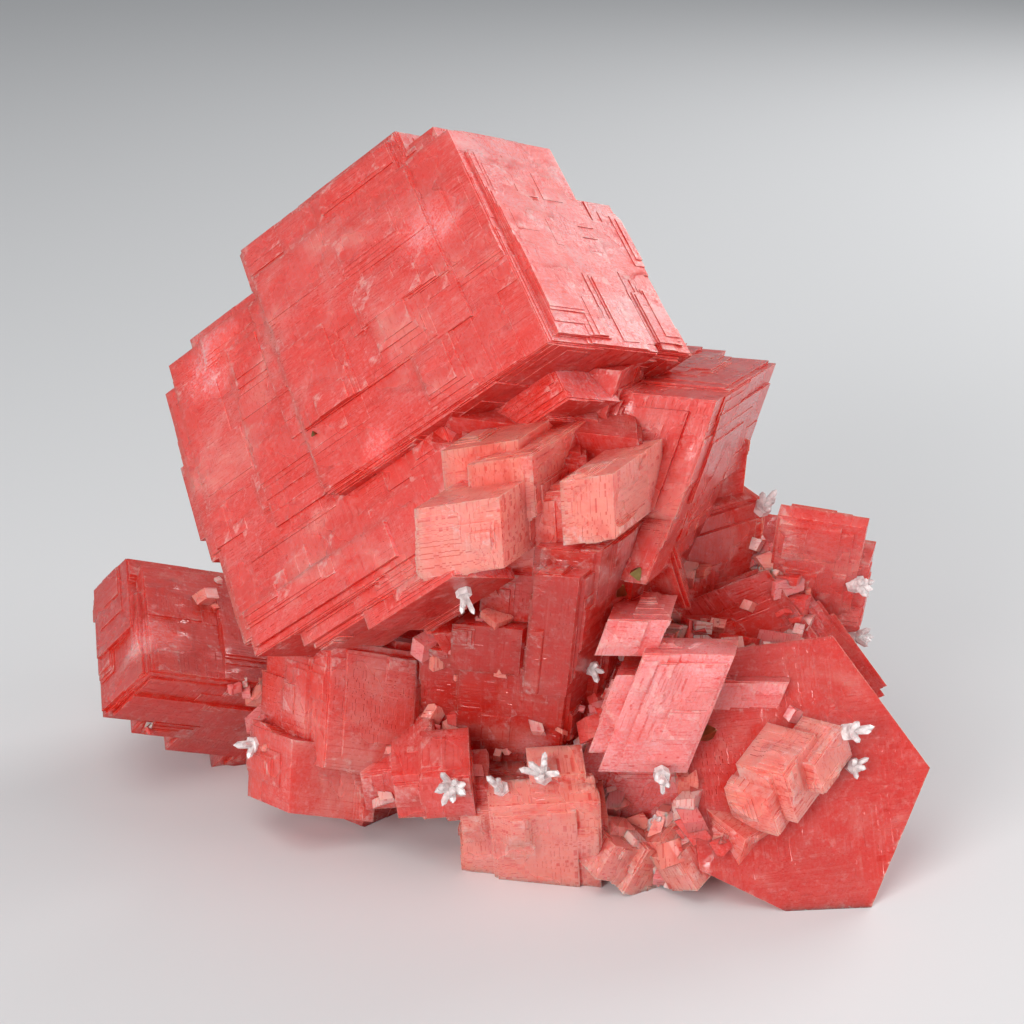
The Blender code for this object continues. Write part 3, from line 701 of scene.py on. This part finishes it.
def growth_relief(tree, lattice, place, frost, lined):
    """The relief of a grown face in mm, and what the colour takes from it: which edge the steps
    follow, how close their feet are (where the colour paints shade), the fine lines and the frost's
    grain."""
    split = node(tree, "ShaderNodeSeparateXYZ", None, in_0=lattice)
    u, v = split.outputs[0], split.outputs[1]
    first, first_foot = ledge_lines(tree, u, v, *STEP_SETS[0])
    second, second_foot = ledge_lines(tree, v, u, *STEP_SETS[1])
    # Growth lines along one edge and the other, about 0.45 mm apart, with finer ones between.
    along = node(tree, "ShaderNodeMapping", None, Vector=lattice, Scale=(0.04, 2.2, 1))
    across = node(tree, "ShaderNodeMapping", None, Vector=lattice, Scale=(2.0, 0.04, 1))
    line_sets = [node(tree, "ShaderNodeTexNoise", FLAT_NOISE, Vector=way, Scale=1.0, Detail=3.0,
                      Roughness=0.6) for way in (along, across)]
    zone = node(tree, "ShaderNodeTexNoise", FLAT_NOISE, Vector=lattice, Scale=0.12, Detail=2.0)
    zone = node(tree, "ShaderNodeMapRange", SMOOTH, Value=zone, in_1=0.42, in_2=0.58)
    lines = node(tree, "ShaderNodeMix", MIX_VALUES, in_0=zone, in_2=line_sets[0],
                 in_3=line_sets[1])
    steps = node(tree, "ShaderNodeMix", MIX_VALUES, in_0=zone, in_2=first, in_3=second)
    feet = node(tree, "ShaderNodeMix", MIX_VALUES, in_0=zone, in_2=first_foot, in_3=second_foot)
    grain = node(tree, "ShaderNodeTexNoise", None, Vector=place, Scale=3.0, Detail=4.0,
                 Roughness=0.65)
    height = node(tree, "ShaderNodeMath", TIMES, in_0=steps, in_1=STEP_HEIGHT)
    for pattern, share, rise in ((lines, lined, LINE_HEIGHT), (grain, frost, FROST_HEIGHT)):
        part = node(tree, "ShaderNodeMath", TIMES, in_0=pattern, in_1=share)
        part = node(tree, "ShaderNodeMath", TIMES, in_0=part, in_1=rise)
        height = node(tree, "ShaderNodeMath", PLUS, in_0=height, in_1=part)
    return height, zone, feet, lines, grain


def rhodochrosite(glow_reach):
    """Rhodochrosite, manganese carbonate, grown from solution: a translucent rose-red crystal,
    whose light runs through it and leaves deep red, with rhombic growth steps, fine lines along its
    edges, pale veils and a vitreous lustre that frosting takes away in places. Its colour also
    holds painted light: deeper red where the crystal is thick, shade and glow in the hollows and at
    the feet of the steps, and a highlight on the sharp edges among their chips."""
    material = bpy.data.materials.new("rhodochrosite_grown_rhombs")
    material.use_nodes = True
    tree = material.node_tree
    shader = tree.nodes["Principled BSDF"]
    lattice = node(tree, "ShaderNodeUVMap", {"uv_map": "lattice"})
    looks = node(tree, "ShaderNodeAttribute", {"attribute_name": "looks"})
    looks = node(tree, "ShaderNodeSeparateColor", None, in_0=looks.outputs["Color"])
    deep, frost, lined = looks.outputs[0], looks.outputs[1], looks.outputs[2]
    tint = node(tree, "ShaderNodeAttribute", {"attribute_name": "tint"}).outputs["Color"]
    stored = node(tree, "ShaderNodeAttribute", {"attribute_name": "depth"})
    depth = node(tree, "ShaderNodeSeparateColor", None, in_0=stored.outputs["Color"])
    shelter, thick, rim = depth.outputs[0], depth.outputs[1], depth.outputs[2]
    frost = node(tree, "ShaderNodeMath", {"operation": "MAXIMUM"}, in_0=frost,
                 in_1=stored.outputs["Alpha"])
    place = node(tree, "ShaderNodeTexCoord").outputs["Object"]
    place = node(tree, "ShaderNodeVectorMath", {"operation": "SCALE"}, in_0=place,
                 Scale=1 / MM)
    height, zone, feet, lines, grain = growth_relief(tree, lattice, place, frost, lined)
    bump = node(tree, "ShaderNodeBump", None, Strength=1.0, Distance=MM, Height=height)

    # Clouds about 11 mm across, darker depths about 6 mm, and a mottle of about 1 mm.
    cloud = node(tree, "ShaderNodeTexNoise", None, Vector=place, Scale=0.09, Detail=6.0,
                 Roughness=0.62, Distortion=0.6)
    depths = node(tree, "ShaderNodeTexNoise", None, Vector=place, Scale=0.16, Detail=3.0,
                  Distortion=1.2)
    mottle = node(tree, "ShaderNodeTexNoise", None, Vector=place, Scale=1.1, Detail=5.0,
                  Roughness=0.7)
    veil = node(tree, "ShaderNodeMapRange", SMOOTH, Value=cloud, in_1=0.5, in_2=0.72)
    veil = node(tree, "ShaderNodeMath", TIMES, in_0=veil, in_1=0.55)
    streak = node(tree, "ShaderNodeMapRange", SMOOTH, Value=lines, in_1=0.52, in_2=0.75)
    streak = node(tree, "ShaderNodeMath", TIMES, in_0=streak, in_1=0.09)
    # Painted light: deeper red where the crystal behind the surface is thick, standing in for the
    # light it absorbs on its way through.
    body = node(tree, "ShaderNodeMapRange", SMOOTH, Value=thick, in_1=0.1, in_2=0.7)
    body = node(tree, "ShaderNodeMath", {"operation": "MULTIPLY", "use_clamp": True}, in_0=deep,
                in_1=body)
    # Painted shade and glow: the sheltered hollows turned a saturated red.
    painted_recess_shade = node(tree, "ShaderNodeMapRange", SMOOTH, Value=shelter, in_1=0.25, in_2=0.85,
                  in_3=0.0, in_4=0.85)
    depths = node(tree, "ShaderNodeMapRange", SMOOTH, Value=depths, in_1=0.5, in_2=0.68,
                  in_3=0.0, in_4=0.4)
    speckle = node(tree, "ShaderNodeMapRange", SMOOTH, Value=mottle, in_1=0.5, in_2=0.7,
                   in_3=0.0, in_4=0.22)
    # Painted shade: deep red at the foot of each growth step, in the crease where it meets the face
    # below.
    ledge = node(tree, "ShaderNodeMath", TIMES, in_0=feet, in_1=0.7)
    # Chipped corners with a painted edge highlight: pale on the sharp edges, where the mottle
    # breaks them up.
    chips_and_edge_highlight = node(tree, "ShaderNodeMath", TIMES, in_0=mottle, in_1=0.9)
    chips_and_edge_highlight = node(tree, "ShaderNodeMath", PLUS, in_0=rim, in_1=chips_and_edge_highlight)
    chips_and_edge_highlight = node(tree, "ShaderNodeMapRange", SMOOTH, Value=chips_and_edge_highlight, in_1=1.35, in_2=1.6)
    chips_and_edge_highlight = node(tree, "ShaderNodeMath", TIMES, in_0=chips_and_edge_highlight, in_1=0.5)
    # Rime, where the frost's grain and the clouds meet.
    rime = node(tree, "ShaderNodeMath", PLUS,
                in_0=node(tree, "ShaderNodeMath", TIMES, in_0=grain, in_1=0.6),
                in_1=node(tree, "ShaderNodeMath", TIMES, in_0=cloud, in_1=0.6))
    rime = node(tree, "ShaderNodeMapRange", SMOOTH, Value=rime, in_1=0.5, in_2=0.75)
    rime = node(tree, "ShaderNodeMath", TIMES, in_0=frost, in_1=rime)
    rime = node(tree, "ShaderNodeMath", TIMES, in_0=rime, in_1=0.75)
    colour = tint
    for share, name in ((body, "deep"), (painted_recess_shade, "glow"), (depths, "deep"), (veil, "salmon"),
                        (streak, "pale"), (speckle, "pale"), (ledge, "deep"), (chips_and_edge_highlight, "pale"),
                        (rime, "frost")):
        colour = node(tree, "ShaderNodeMix", MIX_COLOURS, in_0=share, in_6=colour,
                      in_7=(*linear(TINTS[name]), 1)).outputs[2]
    gloss = node(tree, "ShaderNodeMapRange", SMOOTH, Value=zone, in_1=0.0, in_2=1.0, in_3=0.12,
                 in_4=0.24)
    dulled = node(tree, "ShaderNodeMath", TIMES, in_0=frost, in_1=0.18)
    rough = node(tree, "ShaderNodeMath", PLUS, in_0=gloss, in_1=dulled)
    clear = node(tree, "ShaderNodeMath", TIMES, in_0=deep, in_1=0.35)
    clear = node(tree, "ShaderNodeMath", PLUS, in_0=clear, in_1=0.3)
    veiled = node(tree, "ShaderNodeMath", TIMES, in_0=frost, in_1=0.4)
    clear = node(tree, "ShaderNodeMath", {"operation": "SUBTRACT", "use_clamp": True},
                 in_0=clear, in_1=veiled)

    for value, socket in ((colour, "Base Color"), (rough.outputs[0], "Roughness"),
                          (clear.outputs[0], "Transmission Weight"), (bump.outputs[0], "Normal")):
        tree.links.new(value, shader.inputs[socket])
    shader.inputs["IOR"].default_value = 1.65
    shader.inputs["Subsurface Weight"].default_value = 1.0
    shader.inputs["Subsurface Radius"].default_value = (1.0, 0.22, 0.16)
    shader.inputs["Subsurface Scale"].default_value = glow_reach
    return material


def quartz():
    """Quartz needles, grown from solution: colourless and clear, milky where they are fine."""
    material = bpy.data.materials.new("quartz_needles")
    material.use_nodes = True
    tree = material.node_tree
    shader = tree.nodes["Principled BSDF"]
    place = node(tree, "ShaderNodeTexCoord").outputs["Object"]
    cloud = node(tree, "ShaderNodeTexNoise", None, Vector=place, Scale=900.0, Detail=3.0).outputs[0]
    ramp = node(tree, "ShaderNodeMapRange", None, Value=cloud, in_1=0.35, in_2=0.65, in_3=0.15,
                in_4=0.6).outputs[0]
    tree.links.new(ramp, shader.inputs["Transmission Weight"])
    colour = node(tree, "ShaderNodeMix", {"data_type": "RGBA"}, in_0=cloud,
                  in_6=(*linear("FBF7F5"), 1), in_7=(*linear("EFE4E4"), 1)).outputs[2]
    tree.links.new(colour, shader.inputs["Base Color"])
    shader.inputs["Roughness"].default_value = 0.12
    shader.inputs["IOR"].default_value = 1.544
    return material


def chalcopyrite():
    """Chalcopyrite, copper iron sulphide, grown as small wedges: a brassy metal lustre with
    fine lines and a slight brown tarnish."""
    material = bpy.data.materials.new("chalcopyrite_wedges")
    material.use_nodes = True
    tree = material.node_tree
    shader = tree.nodes["Principled BSDF"]
    place = node(tree, "ShaderNodeTexCoord").outputs["Object"]
    blotch = node(tree, "ShaderNodeTexNoise", None, Vector=place, Scale=1500.0, Detail=3.0)
    colour = node(tree, "ShaderNodeMix", {"data_type": "RGBA"}, in_0=blotch,
                  in_6=(*linear("B0935A"), 1), in_7=(*linear("5E4A2A"), 1)).outputs[2]
    bump = node(tree, "ShaderNodeBump", None, Strength=0.6, Distance=0.0001, Height=blotch)
    tree.links.new(colour, shader.inputs["Base Color"])
    tree.links.new(bump.outputs[0], shader.inputs["Normal"])
    shader.inputs["Metallic"].default_value = 1.0
    shader.inputs["Roughness"].default_value = 0.3
    return material


# ---------------------------------------------------------------- what a user can change
class SpecimenSettings(bpy.types.PropertyGroup):
    ledge_rise: FloatProperty(name="Ledge rise", description="Height of a fine growth step, mm",
                              default=0.13, min=0.05, max=0.3)
    ledge_area: FloatProperty(name="Face per ledge stack", description="Face area that carries one "
                              "stack of fine steps, square mm", default=110.0, min=20.0, max=400.0)
    detail: FloatProperty(name="Mesh detail", description="Longest edge of the finished cluster",
                          default=0.0025, min=0.0008, max=0.01, unit="LENGTH")
    glow_reach: FloatProperty(name="Glow reach", description="How far red light runs inside the "
                              "crystal", default=0.0025, min=0.0, max=0.03, unit="LENGTH")


class StudioSettings(bpy.types.PropertyGroup):
    floor_color: FloatVectorProperty(name="Floor colour", description="Colour of the plain floor",
                                     default=linear("D9D9DA"), size=3, subtype="COLOR")
    key_power: FloatProperty(name="Key light", description="Power of the large soft light, W",
                             default=1.45, min=0.0)
    rim_power: FloatProperty(name="Rim light", description="Power of the light behind, W",
                             default=2.3, min=0.0)
    fill_power: FloatProperty(name="Fill light", description="Power of the low front light, W",
                              default=3.1, min=0.0)
    side_power: FloatProperty(name="Side light", description="Power of the light at the right, W",
                              default=1.2, min=0.0)


# ---------------------------------------------------------------- operators
class SPECIMEN_OT_cluster(bpy.types.Operator):
    """Grows the intergrown rhodochrosite crystals as one solid with fine growth steps"""
    bl_idname = "specimen.cluster"
    bl_label = "Rhodochrosite Cluster"

    def execute(self, context):
        settings = context.scene.specimen
        blocks = grown_blocks(settings)
        clear_selection()
        bpy.ops.mesh.primitive_cube_add(size=1)
        pattern = context.object
        growth = bpy.data.collections.new("growth")
        context.scene.collection.children.link(growth)
        made = []
        for name, matrix, spans in blocks:
            sizes = [high - low for low, high in spans]
            middle = [(high + low) / 2 for low, high in spans]
            made.append(copied(pattern, name, matrix @ Matrix.Translation(middle)
                               @ Matrix.Diagonal((*sizes, 1)), growth))
        bpy.data.objects.remove(pattern)
        clear_selection()
        bpy.ops.mesh.primitive_cone_add(vertices=6, radius1=TABLET_RADIUS * TABLET_BACK,
                                        radius2=TABLET_RADIUS, depth=TABLET_THICK)
        pattern = context.object
        bpy.ops.object.mode_set(mode="EDIT")
        for point, outward in TABLET_TRIMS:
            bpy.ops.mesh.select_all(action="SELECT")
            bpy.ops.mesh.bisect(plane_co=(*point, 0), plane_no=(*outward, 0), use_fill=True,
                                clear_outer=True)
        bpy.ops.object.mode_set(mode="OBJECT")
        made.append(copied(pattern, "tablet", tablet_matrix(), growth))
        bpy.data.objects.remove(pattern)
        piece = made[0]
        growth.objects.unlink(piece)
        context.scene.collection.objects.link(piece)
        piece.name = "rhodochrosite_crystals"
        bpy.ops.mesh.primitive_cube_add(size=1, location=(0, 0, -0.02), scale=(0.2, 0.2, 0.04))
        below = context.object
        joined = piece.modifiers.new("intergrown", "BOOLEAN")
        joined.operation, joined.solver = "UNION", "MANIFOLD"
        joined.operand_type, joined.collection = "COLLECTION", growth
        cut = piece.modifiers.new("base", "BOOLEAN")
        cut.operation, cut.solver, cut.object = "DIFFERENCE", "MANIFOLD", below
        choose(piece)
        for name in ("intergrown", "base"):
            bpy.ops.object.modifier_apply(modifier=name)
        for obj in made[1:] + [below]:
            bpy.data.objects.remove(obj)
        bpy.data.collections.remove(growth)
        write_growth(piece.data, blocks)
        mesh = piece.data
        tree = BVHTree.FromPolygons([v.co.copy() for v in mesh.vertices],
                                    [p.vertices[:] for p in mesh.polygons])
        refine(piece, settings.detail)
        write_depth(piece, tree, 0.012)
        piece.data.materials.clear()
        piece.data.materials.append(rhodochrosite(settings.glow_reach))
        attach(piece, "root")
        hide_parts("rhodochrosite")
        return {"FINISHED"}


class SPECIMEN_OT_crumbs(bpy.types.Operator):
    """Scatters small broken rhombs in the seams, half sunk in the crystals that carry them"""
    bl_idname = "specimen.crumbs"
    bl_label = "Small Rhombs in the Seams"

    def execute(self, context):
        cluster = bpy.data.objects["rhodochrosite_crystals"]
        rng = random.Random("crumbs")
        clear_selection()
        bpy.ops.mesh.primitive_cube_add(size=1)
        pattern = context.object
        lattices = [lattice for _, lattice, _ in CRYSTALS.values()]
        growth = context.scene.collection
        made, shades = [], []
        for place, normal, size, shelter in crumb_places(cluster, rng):
            edges = lattice_edges(*rng.choice(lattices))
            shape = Matrix([[edges[col][row] for col in range(3)] for row in range(3)]).to_4x4()
            lengths = [size * rng.uniform(0.7, 2.0) * MM for _ in range(3)]
            matrix = (Matrix.Translation(place + normal * size * 0.1 * MM) @ shape
                      @ Matrix.Diagonal((*lengths, 1)))
            shade = (rng.choice(CRUMB_TINTS), rng.random(), shelter)
            lowest = min((matrix @ Vector(corner)).z for corner in HALF_CUBE)
            if inside_box(matrix, ((-0.5, 0.5),) * 3) and lowest > 0:
                made.append(copied(pattern, "crumb", matrix, growth))
                shades.append(shade)
        bpy.data.objects.remove(pattern)
        clear_selection()
        for obj in made:
            obj.select_set(True)
        context.view_layer.objects.active = made[0]
        bpy.ops.object.join()
        piece = context.object
        piece.name = "rhodochrosite_small_rhombs"
        mesh = piece.data
        for layer in list(mesh.uv_layers):
            mesh.uv_layers.remove(layer)
        corners = len(mesh.loops) // len(shades)
        looks = np.zeros((len(mesh.loops), 4))
        tint = np.ones((len(mesh.loops), 4))
        depth = np.zeros((len(mesh.vertices), 4))
        uv = np.empty((len(mesh.loops), 2))
        for k, (name, chance, shelter) in enumerate(shades):
            own = slice(k * corners, (k + 1) * corners)
            looks[own] = (CRUMB_DEEP * chance, CRUMB_FROST * chance, CRUMB_LINED, 0)
            tint[own, :3] = linear(TINTS[name])
            # The seam's shelter goes with the small rhomb for the painted shade and glow of the
            # hollows, and its rim value for chips with a painted edge highlight.
            depth[k * 8:(k + 1) * 8] = (CRUMB_SHELTER * shelter, CRUMB_THICK, CRUMB_RIM, 0)
            for j in range(corners):
                spot = mesh.vertices[mesh.loops[k * corners + j].vertex_index].co / MM
                uv[k * corners + j] = (spot.x + 7 * k, spot.z + 0.4 * spot.y)
        mesh.uv_layers.new(name="lattice").data.foreach_set("uv", uv.ravel())
        for title, domain, values in (("looks", "CORNER", looks), ("tint", "CORNER", tint),
                                      ("depth", "POINT", depth)):
            attribute = mesh.attributes.new(title, "FLOAT_COLOR", domain)
            attribute.data.foreach_set("color", values.ravel())
        mesh.materials.clear()
        mesh.materials.append(rhodochrosite(CRUMB_GLOW))
        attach(piece, "root")
        return {"FINISHED"}


class SPECIMEN_OT_quartz(bpy.types.Operator):
    """Gives the quartz sprays their clear, milky material"""
    bl_idname = "specimen.quartz"
    bl_label = "Quartz Sprays"

    def execute(self, context):
        material = quartz()
        for name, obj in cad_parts.items():
            if name.startswith("quartz"):
                obj.data.materials.clear()
                obj.data.materials.append(material)
        return {"FINISHED"}


class SPECIMEN_OT_chalcopyrite(bpy.types.Operator):
    """Gives the chalcopyrite grains their brassy material"""
    bl_idname = "specimen.chalcopyrite"
    bl_label = "Chalcopyrite Grains"

    def execute(self, context):
        material = chalcopyrite()
        for name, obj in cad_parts.items():
            if name.startswith("chalcopyrite"):
                obj.data.materials.clear()
                obj.data.materials.append(material)
        return {"FINISHED"}


def soft_light(name, place, target, size, power, color):
    clear_selection()
    bpy.ops.object.light_add(type="AREA", location=place)
    lamp = bpy.context.object
    lamp.name = name
    lamp.rotation_euler = (Vector(target) - Vector(place)).to_track_quat("-Z", "Y").to_euler()
    lamp.data.shape = "RECTANGLE"
    lamp.data.size, lamp.data.size_y = size
    lamp.data.energy = power
    lamp.data.color = color
    return lamp


class SPECIMEN_OT_stage(bpy.types.Operator):
    """Adds the plain pale floor, the soft lights and the camera"""
    bl_idname = "specimen.stage"
    bl_label = "Floor, Lights and Camera"

    def execute(self, context):
        studio = context.scene.studio
        clear_selection()
        bpy.ops.mesh.primitive_plane_add(size=8)
        floor = context.object
        floor.name = "floor"
        material = bpy.data.materials.new("plain_painted_floor")
        material.use_nodes = True
        shader = material.node_tree.nodes["Principled BSDF"]
        shader.inputs["Base Color"].default_value = (*studio.floor_color, 1)
        shader.inputs["Roughness"].default_value = 0.8
        floor.data.materials.append(material)
        soft_light("key_light", (-0.12, -0.38, 0.58), (0, 0, 0.04), (0.35, 0.35), studio.key_power,
                   (1.0, 0.98, 0.95))
        soft_light("rim_light", (0.45, 0.45, 0.37), (0, 0, 0.05), (0.4, 0.3), studio.rim_power,
                   (1.0, 1.0, 1.0))
        soft_light("fill_light", (-0.3, -0.5, 0.2), (0, 0, 0.04), (0.3, 0.3), studio.fill_power,
                   (1.0, 1.0, 1.0))
        soft_light("side_light", (0.55, -0.15, 0.2), (0, 0, 0.04), (0.3, 0.3), studio.side_power,
                   (1.0, 1.0, 1.0))
        world = bpy.data.worlds.new("soft_daylight")
        world.use_nodes = True
        background = world.node_tree.nodes["Background"]
        background.inputs["Color"].default_value = (*linear("E4E8EC"), 1)
        background.inputs["Strength"].default_value = 0.38
        context.scene.world = world
        context.scene.view_settings.view_transform = "Standard"
        bpy.ops.object.camera_add(location=(0.0037, -0.26706, 0.13665),
                                  rotation=(math.radians(70), 0, 0))
        camera = context.object
        camera.data.lens = 80
        camera.data.sensor_width = 36
        camera.data.dof.use_dof = False
        context.scene.camera = camera
        return {"FINISHED"}


class SPECIMEN_PT_panel(bpy.types.Panel):
    """Lists the specimen's sizes and the steps that make it"""
    bl_idname = "SPECIMEN_PT_panel"
    bl_label = "Rhodochrosite Specimen"
    bl_space_type = "VIEW_3D"
    bl_region_type = "UI"
    bl_category = "Specimen"

    def draw(self, context):
        for group in (context.scene.specimen, context.scene.studio):
            for name in group.__annotations__:
                self.layout.prop(group, name)
        for step in STEPS:
            self.layout.operator(step.bl_idname)


STEPS = (SPECIMEN_OT_cluster, SPECIMEN_OT_crumbs, SPECIMEN_OT_quartz, SPECIMEN_OT_chalcopyrite,
         SPECIMEN_OT_stage)
CLASSES = (SpecimenSettings, StudioSettings) + STEPS + (SPECIMEN_PT_panel,)


def register():
    for made in CLASSES:
        bpy.utils.register_class(made)
    bpy.types.Scene.specimen = PointerProperty(type=SpecimenSettings)
    bpy.types.Scene.studio = PointerProperty(type=StudioSettings)


def unregister():
    del bpy.types.Scene.specimen
    del bpy.types.Scene.studio
    for made in reversed(CLASSES):
        bpy.utils.unregister_class(made)


def main():
    register()
    bpy.ops.specimen.cluster()
    bpy.ops.specimen.crumbs()
    bpy.ops.specimen.quartz()
    bpy.ops.specimen.chalcopyrite()
    bpy.ops.specimen.stage()


if __name__ == "__main__":
    main()
